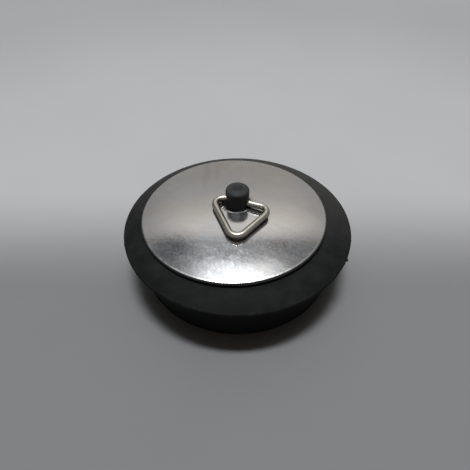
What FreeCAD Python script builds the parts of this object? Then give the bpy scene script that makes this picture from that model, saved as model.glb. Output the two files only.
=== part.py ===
"""Rubber drain stopper with a domed steel cover plate and a three-cornered wire pull ring.

Millimetres, +Z up. The origin is the middle of the foot, on the surface that the stopper stands on.
"""
import FreeCAD, Part
import math
import os

from FreeCAD import Vector

# Rubber plug: the tapered wall that goes into the drain
foot_radius = 21.75
wall_taper = 1.45
wall_height = 11.0
foot_round = 0.9
wall_root_round = 0.5

# Rubber plug: the flange that lies on the drain's rim, and its sloping shoulder
flange_overhang = 1.8
flange_edge_height = 0.8
flange_edge_round = 0.3
shoulder_width = 4.0
shoulder_rise = 1.65
shoulder_crown = 0.22
brim_margin = 0.8
brim_round = 0.4

# Rubber plug: the hollow under it
foot_width = 4.25
hollow_draft = 0.7
roof_thickness = 1.95
hollow_roof_round = 2.0
hollow_mouth_round = 0.5

# Rubber plug: the post that holds the pull ring
post_radius = 2.38
post_height = 4.37
post_head_overhang = 0.12
post_head_height = 2.05
post_head_step = 0.2
post_bevel_width = 1.25
post_bevel_drop = 0.32
post_bevel_round = 0.2
post_shoulder_round = 0.55
dish_margin = 0.2
dish_depth = 0.18

# Steel cover plate
plate_thickness = 0.4
dome_rise = 2.5
rim_bend_inside = 0.1
rim_lip_length = 0.22
plate_slip_shares = (-0.911, 0.222)

# Steel cover plate: its hole for the post, with a raised edge, punched a little off centre
hole_lip_width = 0.5
hole_lip_rise = 0.12
hole_edge_round = 0.12
hole_slip_shares = (-0.338, 0.865)

# Pull ring: a bent wire whose ends meet inside the post
wire_radius = 0.7
ring_side = 14.3
ring_depth = 11.26
ring_lean = 2.73
ring_corner_radius = 1.85
ring_end_gap = 0.4
ring_turn = -20.0

# Clearances
plate_seat_clearance = 0.05
plate_play = 0.9
hole_play = 0.74
lip_clearance = 0.13
bar_clearance = 0.08
bar_plate_gap = 0.08
bend_post_gap = 0.02
ring_rest_gap = 0.14
cut_overrun = 1.0

# How near an edge lies to the place it is looked for, as a share of the solid's size
match_share = 1e-6

# Levels and radii that follow from the sizes above
wall_top_radius = foot_radius + wall_taper
flange_radius = wall_top_radius + flange_overhang
brim_radius = flange_radius - shoulder_width
plate_radius = brim_radius - brim_margin
flange_edge_z = wall_height + flange_edge_height
ledge_z = flange_edge_z + shoulder_rise
hollow_mouth_radius = foot_radius - foot_width
hollow_roof_radius = hollow_mouth_radius - hollow_draft
hollow_roof_height = ledge_z - roof_thickness
crown_radius = plate_radius - plate_thickness - plate_play
rim_bend_radius = plate_thickness + rim_bend_inside
plate_slip = Vector(*plate_slip_shares, 0) * plate_play
hole_slip = Vector(*hole_slip_shares, 0) * hole_play
dome_radius = (plate_radius ** 2 + dome_rise ** 2) / (2 * dome_rise)
rim_drop = plate_slip.Length * plate_radius / dome_radius
rim_z = ledge_z + rim_drop + lip_clearance + rim_lip_length
bend_middle_r = plate_radius - rim_bend_radius
dome_centre_z = rim_z - math.sqrt((dome_radius - rim_bend_radius) ** 2 - bend_middle_r ** 2)
apex_z = dome_centre_z + dome_radius
hole_radius = post_radius + hole_play
hole_lip_radius = hole_radius + hole_lip_width
bore_radius = wire_radius + bar_clearance
bar_z = apex_z + hole_lip_rise + bar_plate_gap + wire_radius
post_top_z = apex_z + post_height
post_head_radius = post_radius + post_head_overhang
post_top_radius = post_head_radius - post_bevel_width
dish_radius = post_top_radius - dish_margin
axis_z = Vector(0, 0, 1)


def at(radius, height):
    """A point of a half section, in the plane that is turned about Z."""
    return Vector(radius, 0, height)


def dome_height(radius, depth):
    """Height of the dome's surface, taken that far below the plate's outer face."""
    return dome_centre_z + math.sqrt((dome_radius - depth) ** 2 - radius ** 2)


def dish_height(radius):
    """Height of the shallow round dish in the post's top."""
    ball_radius = (dish_radius ** 2 + dish_depth ** 2) / (2 * dish_depth)
    return post_top_z - dish_depth + ball_radius - math.sqrt(ball_radius ** 2 - radius ** 2)


class Outline:
    """A half section drawn point by point with lines and arcs, then turned into a solid."""

    def __init__(self, start):
        self.first = start
        self.last = start
        self.edges = []

    def line(self, *points):
        for point in points:
            self.edges.append(Part.LineSegment(self.last, point).toShape())
            self.last = point
        return self

    def arc(self, through, end):
        self.edges.append(Part.Arc(self.last, through, end).toShape())
        self.last = end
        return self

    def revolve(self):
        self.line(self.first)
        face = Part.Face(Part.Wire(self.edges))
        return face.revolve(Vector(0, 0, 0), axis_z, 360)


def rim_points(depth):
    """The turned-down rim's rounded corner, that far below the outer face, from the lip to the dome."""
    bend = rim_bend_radius - depth
    lean = math.atan2(bend_middle_r, rim_z - dome_centre_z)
    half_turn = (math.pi / 2 + lean) / 2
    lip_end = at(bend_middle_r + bend, rim_z)
    halfway = at(bend_middle_r + bend * math.sin(half_turn), rim_z + bend * math.cos(half_turn))
    dome_start = at(bend_middle_r + bend * math.sin(lean), rim_z + bend * math.cos(lean))
    return lip_end, halfway, dome_start


def dome_halfway(outer_radius, inner_radius, depth):
    """A point of the dome between two radii, for its arc."""
    radius = (outer_radius + inner_radius) / 2
    return at(radius, dome_height(radius, depth))


def ring_edges(solid, radius, height):
    """The whole circles of a turned solid at one radius and height."""
    tolerance = solid.BoundBox.DiagonalLength * match_share
    found = []
    for edge in solid.Edges:
        if edge.Degenerated or not isinstance(edge.Curve, Part.Circle):
            continue
        curve = edge.Curve
        if abs(curve.Radius - radius) < tolerance and abs(curve.Center.z - height) < tolerance:
            found.append(edge)
    return found


def rounded(solid, radius, height, rounding):
    """The solid with the circle at that radius and height rounded off."""
    return solid.makeFillet(rounding, ring_edges(solid, radius, height))


def make_plug_body():
    """The rubber moulding: wall, flange, shoulder, crown under the plate, and the post in one piece."""
    seat_depth = plate_thickness + plate_seat_clearance
    brim = at(brim_radius, ledge_z)
    flange_edge = at(flange_radius, flange_edge_z)
    slope = flange_edge - brim
    outward = Vector(-slope.z, 0, slope.x).normalize()
    shoulder_halfway = (brim + flange_edge) * 0.5 + outward * shoulder_crown
    crown_edge = at(crown_radius, dome_height(crown_radius, seat_depth))
    post_root = at(post_radius, dome_height(post_radius, seat_depth))
    head_z = post_top_z - post_head_height
    bevel_z = post_top_z - post_bevel_drop

    section = Outline(at(0, hollow_roof_height))
    section.line(at(hollow_roof_radius, hollow_roof_height), at(hollow_mouth_radius, 0))
    section.line(at(foot_radius, 0), at(wall_top_radius, wall_height))
    section.line(at(flange_radius, wall_height), flange_edge)
    section.arc(shoulder_halfway, brim)
    section.line(at(crown_radius, ledge_z), crown_edge)
    section.arc(dome_halfway(crown_radius, post_radius, seat_depth), post_root)
    section.line(at(post_radius, head_z), at(post_head_radius, head_z + post_head_step))
    section.line(at(post_head_radius, bevel_z), at(post_top_radius, post_top_z))
    section.line(at(dish_radius, post_top_z))
    section.arc(at(dish_radius / 2, dish_height(dish_radius / 2)), at(0, dish_height(0)))
    solid = section.revolve()

    roundings = (
        (foot_radius, 0, foot_round),
        (hollow_mouth_radius, 0, hollow_mouth_round),
        (hollow_roof_radius, hollow_roof_height, hollow_roof_round),
        (wall_top_radius, wall_height, wall_root_round),
        (flange_radius, wall_height, flange_edge_round),
        (flange_radius, flange_edge_z, flange_edge_round),
        (brim_radius, ledge_z, brim_round),
        (post_head_radius, bevel_z, post_shoulder_round),
        (post_top_radius, post_top_z, post_bevel_round),
    )
    for radius, height, rounding in roundings:
        solid = rounded(solid, radius, height, rounding)
    return solid.cut(make_bore())


def bar_direction():
    """The way the ring's straight bar runs through the post."""
    turn = math.radians(ring_turn)
    return Vector(math.cos(turn), math.sin(turn), 0)


def make_bore():
    """The cross hole through the post that the ring's bar turns in."""
    reach = post_head_radius + cut_overrun
    along = bar_direction()
    return Part.makeCylinder(bore_radius, 2 * reach, Vector(0, 0, bar_z) - along * reach, along)


def rolled(shape, slip):
    """The shape slid over the dome by turning it about the dome's centre."""
    roll = math.degrees(slip.Length / dome_radius)
    shape.rotate(Vector(0, 0, dome_centre_z), axis_z.cross(slip).normalize(), roll)
    return shape


def make_hole_rim():
    """The band of the plate round its hole, pressed up towards the edge."""
    top = at(hole_radius, dome_height(hole_radius, 0) + hole_lip_rise)
    bottom = at(hole_radius, dome_height(hole_radius, plate_thickness) + hole_lip_rise)
    section = Outline(at(hole_lip_radius, dome_height(hole_lip_radius, plate_thickness)))
    section.line(at(hole_lip_radius, dome_height(hole_lip_radius, 0)), top, bottom)
    return rounded(section.revolve(), top.x, top.z, hole_edge_round)


def make_cover_plate():
    """The pressed steel cover: a dome with a hole for the post and a rim turned down into the rubber."""
    lip_end, rim_halfway, dome_start = rim_points(0)
    inner_lip_end, inner_rim_halfway, inner_dome_start = rim_points(plate_thickness)
    lip_z = lip_end.z - rim_lip_length
    section = Outline(at(lip_end.x, lip_z))
    section.line(lip_end)
    section.arc(rim_halfway, dome_start)
    section.arc(dome_halfway(dome_start.x, 0, 0), at(0, dome_height(0, 0)))
    section.line(at(0, dome_height(0, plate_thickness)))
    section.arc(dome_halfway(inner_dome_start.x, 0, plate_thickness), inner_dome_start)
    section.arc(inner_rim_halfway, inner_lip_end)
    section.line(at(inner_lip_end.x, lip_z))
    disc = rolled(section.revolve(), plate_slip)
    opening_z = dome_height(0, plate_thickness) - cut_overrun
    opening_height = plate_thickness + 2 * cut_overrun
    opening = Part.makeCylinder(hole_lip_radius, opening_height, Vector(0, 0, opening_z), axis_z)
    return disc.cut(rolled(opening, hole_slip)).fuse(rolled(make_hole_rim(), hole_slip))


def ring_corners():
    """The sharp corners of the wire's centre line, flat: the bar along X and the far corner towards -Y."""
    right = Vector(ring_side / 2, 0, 0)
    far = Vector(ring_lean, -ring_depth, 0)
    left = Vector(-ring_side / 2, 0, 0)
    return right, far, left


def corner_arc(before, corner, after):
    """Start, halfway point, end and middle of the bend that rounds one corner of the wire."""
    back = (before - corner).normalize()
    ahead = (after - corner).normalize()
    half_angle = back.getAngle(ahead) / 2
    tangent = ring_corner_radius / math.tan(half_angle)
    inward = (back + ahead).normalize()
    middle = corner + inward * (ring_corner_radius / math.sin(half_angle))
    return corner + back * tangent, middle - inward * ring_corner_radius, corner + ahead * tangent, middle


def ring_path():
    """The wire's centre line from one end to the other, with the ends facing each other in the bar."""
    right, far, left = ring_corners()
    last = Vector(ring_end_gap / 2, 0, 0)
    edges = []
    for before, corner, after in ((left, right, far), (right, far, left), (far, left, right)):
        start, halfway, end, middle = corner_arc(before, corner, after)
        edges.append(Part.LineSegment(last, start).toShape())
        edges.append(Part.Arc(start, halfway, end).toShape())
        last = end
    edges.append(Part.LineSegment(last, Vector(-ring_end_gap / 2, 0, 0)).toShape())
    return Part.Wire(edges)


def ring_slip():
    """How far the ring is slid along its bar, to where its left bend comes up to the post."""
    right, far, left = ring_corners()
    bend_end = corner_arc(far, left, right)[2]
    return -bend_end.x - post_radius - bend_post_gap


def ring_droop():
    """How far below level the ring lies, in degrees, when the part of it nearest to the dome rests there."""
    right, far, left = ring_corners()
    slip = ring_slip()
    bar_level = bar_z - dome_centre_z
    spare = bar_level ** 2 - (dome_radius + wire_radius + ring_rest_gap) ** 2
    bend_middle = corner_arc(right, far, left)[3]
    reach = ring_corner_radius - bend_middle.y
    sinks = [(reach ** 2 + (bend_middle.x + slip) ** 2 + spare) / (2 * reach)]
    for corner in (right, left):
        leg = (far - corner).normalize()
        aside = abs((corner.x + slip) * leg.y)
        both = aside * abs(leg.x)
        sinks.append((math.sqrt(both ** 2 + leg.y ** 2 * (aside ** 2 + spare)) - both) / leg.y ** 2)
    return math.degrees(math.asin(min(sinks) / bar_level))


def make_pull_ring():
    """The wire ring, lying forward on the dome with its bar through the post."""
    path = ring_path()
    start = path.Edges[0].Vertexes[0].Point
    section = Part.Wire(Part.makeCircle(wire_radius, start, Vector(1, 0, 0)))
    ring = path.makePipeShell([section], True, False)
    ring.translate(Vector(ring_slip(), 0, 0))
    ring.rotate(Vector(0, 0, 0), Vector(1, 0, 0), ring_droop())
    ring.rotate(Vector(0, 0, 0), axis_z, ring_turn)
    ring.translate(Vector(0, 0, bar_z))
    return ring


def main():
    os.makedirs("parts", exist_ok=True)
    pieces = {
        "plug_body": make_plug_body(),
        "cover_plate": make_cover_plate(),
        "pull_ring": make_pull_ring(),
    }
    for name, shape in pieces.items():
        shape.exportStep(os.path.join("parts", name + ".step"))
        print(name, "valid", shape.isValid(), "solids", len(shape.Solids), "volume", round(shape.Volume, 2))
    print("apex", round(apex_z, 3), "bar", round(bar_z, 3), "post top", round(post_top_z, 3))
    print("dome radius", round(dome_radius, 2), "ring droop", round(ring_droop(), 4), "slip", round(ring_slip(), 3))


main()
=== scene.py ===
import bpy
import bmesh
import math
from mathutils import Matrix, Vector, noise


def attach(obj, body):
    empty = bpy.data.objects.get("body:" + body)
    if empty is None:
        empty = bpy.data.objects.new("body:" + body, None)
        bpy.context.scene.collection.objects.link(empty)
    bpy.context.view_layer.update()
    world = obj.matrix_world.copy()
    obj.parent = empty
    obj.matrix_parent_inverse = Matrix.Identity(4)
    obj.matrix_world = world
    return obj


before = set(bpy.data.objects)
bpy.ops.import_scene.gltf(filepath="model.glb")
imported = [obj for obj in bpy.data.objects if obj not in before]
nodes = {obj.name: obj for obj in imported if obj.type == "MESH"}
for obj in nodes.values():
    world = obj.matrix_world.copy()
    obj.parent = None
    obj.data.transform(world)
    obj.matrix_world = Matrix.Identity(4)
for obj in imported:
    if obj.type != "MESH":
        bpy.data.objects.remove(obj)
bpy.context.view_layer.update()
mm = 0.001
print("frame loaded:", ", ".join(sorted(nodes)))


# links another node's output to a socket, or writes a plain value on it
def fill(tree, socket, value):
    if isinstance(value, bpy.types.NodeSocket):
        tree.links.new(value, socket)
    else:
        socket.default_value = value


# adds a shader node, sets its options, then fills its inputs, by name or as i0, i1 and so on by number
def put(tree, kind, options=None, **inputs):
    node = tree.nodes.new(kind)
    for key, value in (options or {}).items():
        setattr(node, key, value)
    for key, value in inputs.items():
        byNumber = key[0] == "i" and key[1:].isdigit()
        fill(tree, node.inputs[int(key[1:]) if byNumber else key.replace("_", " ")], value)
    return node


def calc(tree, operation, a, b=0.0, c=0.0, clamp=False):
    options = {"operation": operation, "use_clamp": clamp}
    return put(tree, "ShaderNodeMath", options, i0=a, i1=b, i2=c).outputs[0]


def times(tree, first, *others):
    for other in others:
        first = calc(tree, "MULTIPLY", first, other)
    return first


def vector(tree, operation, a, b=(0.0, 0.0, 0.0)):
    node = put(tree, "ShaderNodeVectorMath", {"operation": operation}, i0=a, i1=b)
    return node.outputs["Value" if operation in ("DISTANCE", "LENGTH") else "Vector"]


def scaled(tree, color, share):
    return put(tree, "ShaderNodeVectorMath", {"operation": "SCALE"}, i0=color, Scale=share).outputs[0]


def split(tree, place):
    return put(tree, "ShaderNodeSeparateXYZ", None, Vector=place).outputs


# 0 at the first value, 1 at the second, smooth between
def fade(tree, value, low, high):
    options = {"interpolation_type": "SMOOTHSTEP"}
    return put(tree, "ShaderNodeMapRange", options, i0=value, i1=low, i2=high).outputs[0]


def remap(tree, value, low, high, newLow, newHigh):
    span = put(tree, "ShaderNodeMapRange", {"clamp": True}, i0=value, i1=low, i2=high, i3=newLow, i4=newHigh)
    return span.outputs[0]


def blendColor(tree, share, first, second):
    mix = put(tree, "ShaderNodeMix", {"data_type": "RGBA"}, i0=share)
    for socket, color in ((mix.inputs[6], first), (mix.inputs[7], second)):
        fill(tree, socket, color if isinstance(color, bpy.types.NodeSocket) else (*color, 1.0))
    return mix.outputs[2]


# the piece's own place in millimetres, turned about the plug's axis and stretched
def placeMm(tree, stretch=(1.0, 1.0, 1.0), turn=0.0):
    coords = put(tree, "ShaderNodeTexCoord")
    mapping = put(tree, "ShaderNodeMapping", {"vector_type": "TEXTURE"}, Vector=coords.outputs["Object"])
    mapping.inputs["Rotation"].default_value = (0, 0, math.radians(turn))
    mapping.inputs["Scale"].default_value = [mm / s for s in stretch]
    return mapping.outputs[0]


# which way the piece's own surface faces, up being 1
def ownLift(tree):
    return split(tree, put(tree, "ShaderNodeTexCoord").outputs["Normal"])[2]


# distance from an upright axis, the plug's own or one beside it
def radiusFrom(tree, place, middle=(0.0, 0.0)):
    flat = vector(tree, "MULTIPLY", place, (1.0, 1.0, 0.0))
    return vector(tree, "DISTANCE", flat, (*middle, 0.0))


# cloudy noise: cycles per millimetre, detail, roughness, distortion
def speckle(tree, place, cycles, detail=3.0, roughness=0.55, distortion=0.0):
    made = put(tree, "ShaderNodeTexNoise", None, Vector=place, Scale=cycles, Detail=detail, Roughness=roughness)
    made.inputs["Distortion"].default_value = distortion
    return made.outputs["Fac"]


# noise drawn out into lines: cycles per millimetre in X and Y, degrees turned, then as for speckle
def lines(tree, across, turn, *kind):
    return speckle(tree, placeMm(tree, (*across, 1.0), turn), 1.0, *kind)


def newFinish(name):
    material = bpy.data.materials.new(name)
    material.use_nodes = True
    tree = material.node_tree
    shader = next(n for n in tree.nodes if n.type == "BSDF_PRINCIPLED")
    return material, tree, shader


def feed(tree, shader, **sockets):
    for key, value in sockets.items():
        fill(tree, shader.inputs[key.replace("_", " ")], value)


def dress(node, material):
    nodes[node].data.materials.clear()
    nodes[node].data.materials.append(material)


noiseSpan = (0.3, 0.7)  # where nearly all of the noise lies

# black moulded rubber: cloudy black, fine grain, turned mould marks, dust on what faces up, a back lighter from
# dust and painted sheen, and a post worn grey by fingers, its head also painted lighter in place of its sheen;
# lengths are millimetres from the plug's axis
rubberLook = {
    "deep": (0.0072, 0.0076, 0.0076),
    "grey": (0.0118, 0.0124, 0.0124),
    "clouds": (0.3, 5.0, 0.62),
    "roughness": (0.64, 0.80),
    "shine": 0.10,
    "dust": (0.075, 0.073, 0.069),
    "upward": (0.25, 0.95),
    "film": (0.35, 0.75),
    "filmShare": 0.1,
    "speckCells": 1.7,
    "speckChosen": (0.86, 0.9),
    "speckSize": (0.16, 0.05),
    "speckShare": 0.5,
    "flangeEdge": (24.45, 24.95),
    "scuffs": (0.9, 4.0),
    "scuffed": (0.45, 0.7),
    "scuffShare": 0.12,
    "backDustAndSheen": (-6.0, 22.0),  # millimetres towards the back, and a little to the right
    "backDustAndSheenAside": 0.2,
    "backDustAndSheenShare": 0.6,
    "worn": (0.050, 0.052, 0.053),
    "wornTop": (3.4, 2.9),
    "wornAndSheenFacing": (-0.7, 0.5),
    "wornPatches": (1.3, 5.0),
    "wornLeast": 0.55,
    "polish": 0.28,
    "dish": (0.8, 1.3),
    "dishShare": 0.4,
    "grain": (7.0, 3.0, 0.6),
    "turned": (5.0, 2.0),
    "relief": (0.7, 0.3),
    "reliefDepth": 0.02 * mm,
    "reliefStrength": 0.35,
}


def rubberFinish():
    look = rubberLook
    material, tree, shader = newFinish("blackRubber")
    place = placeMm(tree)
    x, y = split(tree, place)[:2]
    radius = radiusFrom(tree, place)
    clouds = speckle(tree, place, *look["clouds"])
    lift = split(tree, put(tree, "ShaderNodeNewGeometry").outputs["Normal"])[2]
    upward = fade(tree, lift, *look["upward"])

    # dust: a thin film, specks, a scuffed edge, and a lighter back, partly dust settled there and partly painted
    # sheen of the back shoulder
    cells = put(tree, "ShaderNodeTexVoronoi", None, Vector=place, Scale=look["speckCells"])
    draw = put(tree, "ShaderNodeSeparateColor", None, Color=cells.outputs["Color"]).outputs[0]
    specks = fade(tree, cells.outputs["Distance"], *look["speckSize"])
    specks = times(tree, fade(tree, draw, *look["speckChosen"]), specks)
    film = times(tree, upward, fade(tree, clouds, *look["film"]))
    scuff = fade(tree, speckle(tree, place, *look["scuffs"]), *look["scuffed"])
    scuff = times(tree, fade(tree, radius, *look["flangeEdge"]), scuff)
    # painted sheen as well as dust: upward faces lighter towards the back
    backward = calc(tree, "MULTIPLY_ADD", x, look["backDustAndSheenAside"], y)
    backDustAndSheen = times(tree, remap(tree, backward, *look["backDustAndSheen"], 0.0, look["backDustAndSheenShare"]), upward)
    dust = times(tree, film, look["filmShare"])
    for share in (times(tree, specks, look["speckShare"]), times(tree, scuff, look["scuffShare"]), backDustAndSheen):
        dust = calc(tree, "ADD", dust, share, clamp=True)
    color = blendColor(tree, remap(tree, clouds, *noiseSpan, 0.0, 1.0), look["deep"], look["grey"])
    color = blendColor(tree, dust, color, look["dust"])

    # the post's head, worn grey and painted lighter in place of its sheen, less so in its dish
    post = fade(tree, radius, *look["wornTop"])
    patches = remap(tree, speckle(tree, place, *look["wornPatches"]), *noiseSpan, look["wornLeast"], 1.0)
    dish = remap(tree, radius, *look["dish"], look["dishShare"], 1.0)
    # painted highlight and wear: the post's head lighter where it faces up
    worn = times(tree, post, fade(tree, lift, *look["wornAndSheenFacing"]), patches, dish)
    color = blendColor(tree, worn, color, look["worn"])
    rough = remap(tree, clouds, *noiseSpan, *look["roughness"])
    rough = calc(tree, "SUBTRACT", rough, times(tree, post, look["polish"]))

    grain = speckle(tree, place, *look["grain"])
    turned = speckle(tree, put(tree, "ShaderNodeCombineXYZ", None, X=radius).outputs[0], *look["turned"])
    grainShare, turnedShare = look["relief"]
    relief = calc(tree, "ADD", times(tree, grain, grainShare), times(tree, turned, turnedShare))
    bump = put(tree, "ShaderNodeBump", None, Strength=look["reliefStrength"], Height=relief)
    bump.inputs["Distance"].default_value = look["reliefDepth"]
    feed(tree, shader, Base_Color=color, Roughness=rough, Specular_IOR_Level=look["shine"], Normal=bump.outputs[0])
    return material


# cover sheet: pressed steel with a fine grain, a greasy film wiped about, dried smudges and darker patches painted
# in place of dark reflections, hair scratches, and a dull rim with its hem painted dark in place of its reflection;
# places are millimetres from the plug's axis
steelLook = {
    "clean": (0.605, 0.60, 0.595),
    "warm": (0.605, 0.585, 0.56),
    "cool": (0.575, 0.583, 0.592),
    "tone": (0.085, 3.0, 0.55, 0.4),
    "warmFrom": (0.50, 0.66),
    "coolFrom": (0.48, 0.34),
    "grime": (0.47, 0.46, 0.44),
    "grimeMiddle": (-0.25, 0.64, 16.9),
    "grimeReach": (4.4, 3.0),
    "grimePatches": (1.6, 4.0),
    "grimeLeast": 0.45,
    "rag": (1.1, 6.0, 0.72, 0.6),
    "ragSpan": (0.25, 0.75),
    "ragReach": (-0.75, 0.75),
    "crumbs": (2.2, 3.0, 0.6),
    "crumbSpan": (0.36, 0.62),
    "crumbShare": (0.35, 1.3),
    # the first three are darker patches painted in place of dark reflections and the ring's shade; the last two are
    # smudges
    "stainsAndDarkReflections": (
        ((-13.2, -11.0), (4.6, 3.3), (0.34, 0.36, 0.38), 0.75),
        ((6.8, -10.9), (4.6, 1.7), (0.35, 0.34, 0.335), 0.75),
        ((2.2, -13.6), (5.0, 2.4), (0.48, 0.48, 0.475), 0.75),
        ((-7.4, 14.0), (1.1, 7.5), (0.49, 0.48, 0.46), 0.6),
        ((-4.9, 14.5), (0.7, 6.5), (0.50, 0.49, 0.475), 0.5),
    ),
    "middle": (-0.82, 0.20),
    "rim": (19.5, 19.8),
    "rimSheen": 0.10,
    # painted reflection: the hem's colour is dark in place of what it reflects
    "darkHemReflection": (0.07, 0.07, 0.07),
    "darkHemFacing": (0.95, 0.70),
    "grain": ((60.0, 6.0), 9.0, 2.0, 0.7),
    "grainSpan": (0.35, 0.65),
    "sheen": (0.09, 0.21),
    "wipe": ((0.12, 0.7), -22.0, 4.0, 0.65, 0.5),
    "wipeSheen": (-0.035, 0.045),
    "sparkle": (4.5, 2.0, 0.6),
    "sparkleSheen": (-0.045, 0.045),
    "hair": ((1.7, 0.8), 7.0, 3.0, 0.6),
    "hairSpan": (0.32, 0.68),
    "hairWorn": ((-4.6, -15.6), (9.5, 4.6)),
    "hairLeast": 0.3,
    "hairSheen": 0.09,
    "hairTone": 0.09,
    "ripple": ((0.1, 1.3), -5.0, 2.0, 0.5, 0.3),
    "rippled": ((-5.6, -11.0), (6.0, 4.4)),
    "rippleRag": 0.3,
    "rippleTone": 0.4,
    "swirls": ((26.0, -34.0, 15.0), (-30.0, 22.0, 15.0)),
    "swirlWander": (0.06, 2.0),
    "swirlReach": 5.0,
    "swirlLines": (3.2, 2.0, 0.7),
    "swirlLine": (0.57, 0.66),
    "swirlPatches": (0.16, 3.0),
    "swirlPatch": (0.48, 0.62),
    "swirlSheen": 0.03,
    "smear": (0.13, 5.0, 0.62, 0.9),
    "smeared": (0.44, 0.70),
    "smearShare": 0.7,
    "wipeSpan": (0.35, 0.7),
    "wipeShare": 0.3,
    "rubbed": (7.0, 13.0),
    "scuff": ((-0.3, -3.7), (1.0, 1.4)),
    "scuffRag": 0.5,
    "film": (0.94, 0.85),
    # heights in millimetres
    "sparkleRelief": 0.0005,
    "swirlRelief": -0.0001,
    "streaks": ((0.14, 2.4), -6.0, 3.0, 0.6),
    "streakRelief": 0.003,
    "peel": ((4.2, 0.0012), (2.1, 0.003), (0.9, 0.006), (0.33, 0.012)),
    "peelKind": (2.0, 0.5),
}


# thin arcs about a far middle, broken up into patches
def swirlLines(tree, place, middle):
    look = steelLook
    wander = times(tree, speckle(tree, place, *look["swirlWander"]), look["swirlReach"])
    outward = calc(tree, "ADD", vector(tree, "DISTANCE", place, middle), wander)
    along = put(tree, "ShaderNodeCombineXYZ", None, X=outward).outputs[0]
    thin = fade(tree, speckle(tree, along, *look["swirlLines"]), *look["swirlLine"])
    return times(tree, thin, fade(tree, speckle(tree, place, *look["swirlPatches"]), *look["swirlPatch"]))


smudgeEdge = (1.15, 0.45)  # shares of a smudge's reach, from bare to full


# a patch about one place on the sheet, with a broken edge
def smudge(tree, place, rag, middle, reach):
    apart = vector(tree, "SUBTRACT", place, (*middle, 0.0))
    flat = vector(tree, "MULTIPLY", apart, (1 / reach[0], 1 / reach[1], 0.0))
    return fade(tree, calc(tree, "ADD", vector(tree, "LENGTH", flat), rag), *smudgeEdge)


def steelFinish():
    look = steelLook
    material, tree, shader = newFinish("coverSteel")
    place = placeMm(tree)
    rag = remap(tree, speckle(tree, place, *look["rag"]), *look["ragSpan"], *look["ragReach"])
    wipe = lines(tree, *look["wipe"])
    sparkle = speckle(tree, place, *look["sparkle"])
    smear = fade(tree, speckle(tree, place, *look["smear"]), *look["smeared"])
    fromPost = vector(tree, "DISTANCE", place, look["grimeMiddle"])
    rim = fade(tree, radiusFrom(tree, place, look["middle"]), *look["rim"])
    # painted reflection: where the steep turned-down hem is painted dark
    darkHemReflection = times(tree, rim, fade(tree, calc(tree, "ABSOLUTE", ownLift(tree)), *look["darkHemFacing"]))
    scratches = calc(tree, "MAXIMUM", *[swirlLines(tree, place, middle) for middle in look["swirls"]])
    worn = remap(tree, smudge(tree, place, rag, *look["hairWorn"]), 0.0, 1.0, look["hairLeast"], 1.0)
    hair = times(tree, remap(tree, lines(tree, *look["hair"]), *look["hairSpan"], -0.5, 0.5), worn)

    # colour: warm and cool clouds, grime round the post, stains and darker patches painted in place of dark
    # reflections and the ring's shade, the hem painted dark in place of its reflection, hair lines and wipe ripples
    tone = speckle(tree, place, *look["tone"])
    color = blendColor(tree, fade(tree, tone, *look["warmFrom"]), look["clean"], look["warm"])
    color = blendColor(tree, fade(tree, tone, *look["coolFrom"]), color, look["cool"])
    patches = remap(tree, speckle(tree, place, *look["grimePatches"]), *noiseSpan, look["grimeLeast"], 1.0)
    grime = times(tree, fade(tree, fromPost, *look["grimeReach"]), patches)
    color = blendColor(tree, grime, color, look["grime"])
    crumbs = remap(tree, speckle(tree, place, *look["crumbs"]), *look["crumbSpan"], *look["crumbShare"])
    # painted reflection and stains: darker patches where the sheet reflects dark things, and smudges
    for middle, reach, tint, strength in look["stainsAndDarkReflections"]:
        share = times(tree, smudge(tree, place, rag, middle, reach), crumbs, strength)
        color = blendColor(tree, share, color, tint)
    color = blendColor(tree, darkHemReflection, color, look["darkHemReflection"])
    rippled = smudge(tree, place, times(tree, rag, look["rippleRag"]), *look["rippled"])
    ripple = times(tree, calc(tree, "SUBTRACT", lines(tree, *look["ripple"]), 0.5), rippled)
    shade = calc(tree, "MULTIPLY_ADD", hair, look["hairTone"], 1.0)
    shade = calc(tree, "MULTIPLY_ADD", ripple, look["rippleTone"], shade)
    color = scaled(tree, color, shade)

    # roughness: rolled grain, wiping, sparkle, hair lines, the dull rim and scratches
    rough = remap(tree, lines(tree, *look["grain"]), *look["grainSpan"], *look["sheen"])
    rough = calc(tree, "ADD", rough, remap(tree, wipe, *noiseSpan, *look["wipeSheen"]))
    rough = calc(tree, "ADD", rough, remap(tree, sparkle, *noiseSpan, *look["sparkleSheen"]))
    rough = calc(tree, "MULTIPLY_ADD", hair, look["hairSheen"], rough)
    rough = calc(tree, "MULTIPLY_ADD", rim, look["rimSheen"], rough)
    rough = calc(tree, "MULTIPLY_ADD", scratches, look["swirlSheen"], rough, clamp=True)

    # greasy film, rubbed off near the post
    wiped = remap(tree, wipe, *look["wipeSpan"], 0.0, look["wipeShare"])
    film = calc(tree, "ADD", times(tree, smear, look["smearShare"]), wiped)
    film = times(tree, film, fade(tree, fromPost, *look["rubbed"]))
    film = calc(tree, "ADD", film, smudge(tree, place, times(tree, rag, look["scuffRag"]), *look["scuff"]))
    metal = remap(tree, film, 0.0, 1.0, *look["film"])

    relief = times(tree, sparkle, look["sparkleRelief"])
    relief = calc(tree, "MULTIPLY_ADD", scratches, look["swirlRelief"], relief)
    streaks = times(tree, lines(tree, *look["streaks"]), smear)
    relief = calc(tree, "MULTIPLY_ADD", streaks, look["streakRelief"], relief)
    for cycles, height in look["peel"]:
        relief = calc(tree, "MULTIPLY_ADD", speckle(tree, place, cycles, *look["peelKind"]), height, relief)
    bump = put(tree, "ShaderNodeBump", None, Strength=1.0, Distance=mm, Height=relief)
    feed(tree, shader, Base_Color=color, Metallic=metal, Roughness=rough, Normal=bump.outputs[0])
    return material


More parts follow.
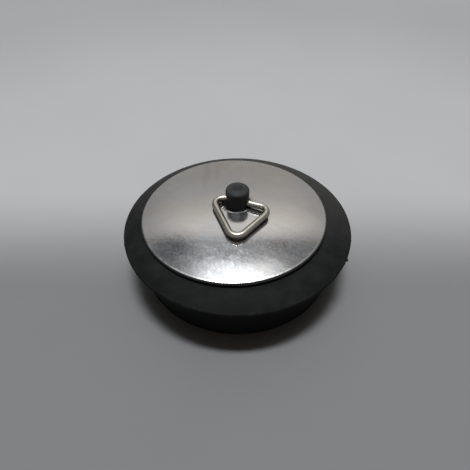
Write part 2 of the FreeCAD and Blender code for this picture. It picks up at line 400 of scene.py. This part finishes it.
# ring wire: warm nickel, softly worn, darker underneath as painted shade and tarnish
wireLook = {
    "bright": (0.57, 0.53, 0.465),
    "tarnish": (0.40, 0.36, 0.30),
    "patches": (0.7, 5.0, 0.65),
    "tarnished": (0.5, 0.78),
    "roughness": (0.30, 0.42),
    "under": (0.15, 0.133, 0.113),
    "underFacing": (0.55, -0.30),
    "pits": (9.0, 3.0),
    "pitDepth": 0.01 * mm,
    "pitStrength": 0.05,
}


def wireFinish():
    look = wireLook
    material, tree, shader = newFinish("ringNickel")
    place = placeMm(tree)
    patches = speckle(tree, place, *look["patches"])
    color = blendColor(tree, fade(tree, patches, *look["tarnished"]), look["bright"], look["tarnish"])
    # painted shade: the wire's colour darker where its own surface faces down
    color = blendColor(tree, fade(tree, ownLift(tree), *look["underFacing"]), color, look["under"])
    rough = remap(tree, patches, *noiseSpan, *look["roughness"])
    pits = speckle(tree, place, *look["pits"])
    bump = put(tree, "ShaderNodeBump", None, Strength=look["pitStrength"], Distance=look["pitDepth"], Height=pits)
    feed(tree, shader, Base_Color=color, Metallic=1.0, Roughness=rough, Normal=bump.outputs[0])
    return material


blackRubber = rubberFinish()
dress("plug_body", blackRubber)
dress("cover_plate", steelFinish())
dress("pull_ring", wireFinish())
print("finishes on the rubber, the cover and the ring")

# crumbs of moulding flash left on the flange's edge: degrees round it, millimetres high, long, out and tall
nibLook = {
    "radius": 24.97,
    "crumbs": (
        (-27.0, 11.55, 0.42, 0.36, 0.30), (-29.6, 11.50, 0.20, 0.16, 0.16), (-14.0, 11.62, 0.26, 0.10, 0.12),
        (-10.5, 11.58, 0.16, 0.09, 0.10), (-40.0, 11.45, 0.22, 0.10, 0.12), (196.0, 11.55, 0.24, 0.09, 0.11),
    ),
    "ragged": 0.45,
    "lumps": 1.7,
    "fineness": 3,
}


def addNibs():
    shape = bmesh.new()
    for degrees, height, length, out, tall in nibLook["crumbs"]:
        made = bmesh.ops.create_icosphere(shape, subdivisions=nibLook["fineness"], radius=1.0)["verts"]
        turn = math.radians(degrees)
        middle = Vector((nibLook["radius"] * math.cos(turn), nibLook["radius"] * math.sin(turn), height))
        outward = Vector((math.cos(turn), math.sin(turn), 0))
        along = Vector((-math.sin(turn), math.cos(turn), 0))
        for vert in made:
            swell = 1 + nibLook["ragged"] * noise.noise(vert.co * nibLook["lumps"] + Vector((degrees, 0, 0)))
            x, y, z = vert.co * swell
            vert.co = (middle + outward * x * out + along * y * length + Vector((0, 0, z * tall))) * mm
    mesh = bpy.data.meshes.new("flashNibs")
    shape.to_mesh(mesh)
    shape.free()
    mesh.polygons.foreach_set("use_smooth", [True] * len(mesh.polygons))
    mesh.materials.append(blackRubber)
    nibs = bpy.data.objects.new("flashNibs", mesh)
    bpy.context.scene.collection.objects.link(nibs)
    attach(nibs, "stopper")


addNibs()
print("flash nibs on the flange's edge")


# the table the stopper stands on, paler towards the back, its front darker as a painted shadow; radius in metres,
# fades in millimetres
floorLook = {
    "radius": 30.0,
    "segments": 96,
    "drop": 0.05 * mm,
    "back": (0.495, 0.493, 0.497),
    "front": (0.225, 0.225, 0.228),
    "fade": (-11.0, 27.0),
    "away": (0.40, 0.40, 0.403),
    "awayFade": (80.0, 220.0),
    "clouds": (0.02, 4.0),
    "blotch": (0.96, 1.0),
    "roughness": 0.75,
    "shine": 0.2,
}


def floorFinish():
    look = floorLook
    material, tree, shader = newFinish("palePaper")
    place = placeMm(tree)
    depth = split(tree, place)[1]
    # painted shadow: the floor's front half coloured darker than its back
    color = blendColor(tree, fade(tree, depth, *look["fade"]), look["front"], look["back"])
    far = vector(tree, "LENGTH", place)
    color = blendColor(tree, fade(tree, far, *look["awayFade"]), color, look["away"])
    paper = remap(tree, speckle(tree, place, *look["clouds"]), *noiseSpan, *look["blotch"])
    color = scaled(tree, color, paper)
    feed(tree, shader, Base_Color=color, Roughness=look["roughness"], Specular_IOR_Level=look["shine"])
    return material


def layFloor():
    mesh = bpy.data.meshes.new("floor")
    disc = bmesh.new()
    bmesh.ops.create_circle(disc, cap_ends=True, segments=floorLook["segments"], radius=floorLook["radius"])
    disc.to_mesh(mesh)
    disc.free()
    floor = bpy.data.objects.new("floor", mesh)
    floor.location.z = -floorLook["drop"]
    bpy.context.scene.collection.objects.link(floor)
    mesh.materials.append(floorFinish())


layFloor()

# the room round the plug, by angle from the far horizon (0) over the top (90) to the near horizon (180):
# a pale far wall, a bright ceiling with a strip light along X, and dim sides and front
roomLook = {
    "full": 3.0,
    "middle": (
        (0, 0.40), (8, 0.34), (21, 0.36), (35, 0.48), (45, 0.70), (51, 0.92), (55, 0.84), (58, 0.54), (62, 0.30),
        (66, 0.32), (68, 0.50), (70, 0.90), (72, 1.25), (76, 1.60), (82, 1.65), (90, 1.20), (94, 0.40), (100, 0.12),
        (112, 0.06), (150, 0.04), (180, 0.07),
    ),
    "sides": (
        (0, 0.10), (50, 0.10), (58, 0.085), (66, 0.115), (72, 0.17), (90, 0.16),
        (110, 0.08), (150, 0.04), (180, 0.07),
    ),
    "wallWidth": (0.28, 0.80),
    "ceilingWidth": (0.14, 0.41),
    "wallTop": (45, 58),
    "nearEdge": 96,
    "wallTint": (1.05, 1.00, 0.94),
    "ceilingTint": (0.98, 1.00, 1.03),
    "nearTint": (1.18, 1.00, 0.80),
    "leftTint": (0.90, 0.92, 0.94),
    "rightTint": (1.02, 1.01, 1.00),
    "tintFade": (-0.4, 0.4),
    "backdrop": (0.20, 0.20, 0.203),
    "backdropNear": (104, 135),
    "backdropAside": (0.78, 0.96),
    "strip": 90.0,
    "stripAngle": (87.0, 2.0, 3.5),
    "stripReach": (0.22, 0.03),
    "stripTail": 0.012,
    "stripTailReach": (0.75, 0.25),
    "leastRise": 0.0001,
}
halfTurn = 180


def levelRamp(tree, arc, stops):
    node = put(tree, "ShaderNodeValToRGB", None, Fac=arc)
    elements = node.color_ramp.elements
    while len(elements) < len(stops):
        elements.new(0.5)
    for element, (angle, level) in zip(elements, stops):
        if angle < roomLook["wallTop"][1]:
            tint = roomLook["wallTint"]
        else:
            tint = roomLook["ceilingTint" if angle < roomLook["nearEdge"] else "nearTint"]
        element.position = angle / halfTurn
        element.color = (*[level / roomLook["full"] * t for t in tint], 1)
    return node.outputs[0]


def lightRoom():
    look = roomLook
    world = bpy.data.worlds.new("softRoom")
    bpy.context.scene.world = world
    world.use_nodes = True
    tree = world.node_tree
    background = next(n for n in tree.nodes if n.type == "BACKGROUND")
    x, y, z = split(tree, put(tree, "ShaderNodeTexCoord").outputs["Generated"])
    rise = calc(tree, "MAXIMUM", z, look["leastRise"])
    arc = calc(tree, "DIVIDE", calc(tree, "ARCTAN2", rise, y), math.pi)
    aside = calc(tree, "ABSOLUTE", x)

    # the far wall is wider than the ceiling's bright part
    wallTop = [angle / halfTurn for angle in look["wallTop"]]
    inner, outer = [remap(tree, arc, *wallTop, *widths) for widths in zip(look["wallWidth"], look["ceilingWidth"])]
    middle, sides = [levelRamp(tree, arc, look[part]) for part in ("middle", "sides")]
    room = blendColor(tree, fade(tree, aside, inner, outer), middle, sides)
    tint = blendColor(tree, fade(tree, x, *look["tintFade"]), look["leftTint"], look["rightTint"])
    room = vector(tree, "MULTIPLY", room, tint)

    # what the camera and the metal see behind the near side and the ends of the room is plain
    rays = put(tree, "ShaderNodeLightPath").outputs
    seen = calc(tree, "MAXIMUM", rays["Is Glossy Ray"], rays["Is Transmission Ray"])
    seen = calc(tree, "MAXIMUM", rays["Is Camera Ray"], seen)
    near = fade(tree, arc, *[angle / halfTurn for angle in look["backdropNear"]])
    plain = calc(tree, "MAXIMUM", near, fade(tree, aside, *look["backdropAside"]))
    backdrop = [level / look["full"] for level in look["backdrop"]]
    room = blendColor(tree, times(tree, seen, plain), room, backdrop)

    # the strip light, with faint ends
    angle, core, edge = [value / halfTurn for value in look["stripAngle"]]
    across = fade(tree, calc(tree, "ABSOLUTE", calc(tree, "SUBTRACT", arc, angle)), edge, core)
    along = fade(tree, aside, *look["stripReach"])
    along = calc(tree, "MULTIPLY_ADD", fade(tree, aside, *look["stripTailReach"]), look["stripTail"], along)
    lamp = scaled(tree, look["ceilingTint"], times(tree, across, along, look["strip"] / look["full"]))
    tree.links.new(vector(tree, "ADD", room, lamp), background.inputs["Color"])
    background.inputs["Strength"].default_value = look["full"]


lightRoom()
print("floor and room light set")

# photo's view: millimetres from the foot's middle, degrees down, pixels of a 470 wide picture
viewLook = {"place": (0, -65.92, 72.56), "down": 44.61, "focal": 400, "width": 470, "rightward": 2.5}


def setCamera():
    lens = bpy.data.cameras.new("photoView")
    lens.sensor_width = 36
    lens.lens = lens.sensor_width * viewLook["focal"] / viewLook["width"]
    lens.shift_x = -viewLook["rightward"] / viewLook["width"]
    lens.clip_start = mm
    camera = bpy.data.objects.new("photoView", lens)
    camera.location = [v * mm for v in viewLook["place"]]
    camera.rotation_euler = (math.radians(90 - viewLook["down"]), 0, 0)
    bpy.context.scene.collection.objects.link(camera)
    bpy.context.scene.camera = camera


setCamera()
bpy.context.scene.view_settings.view_transform = "Standard"
print("camera set")
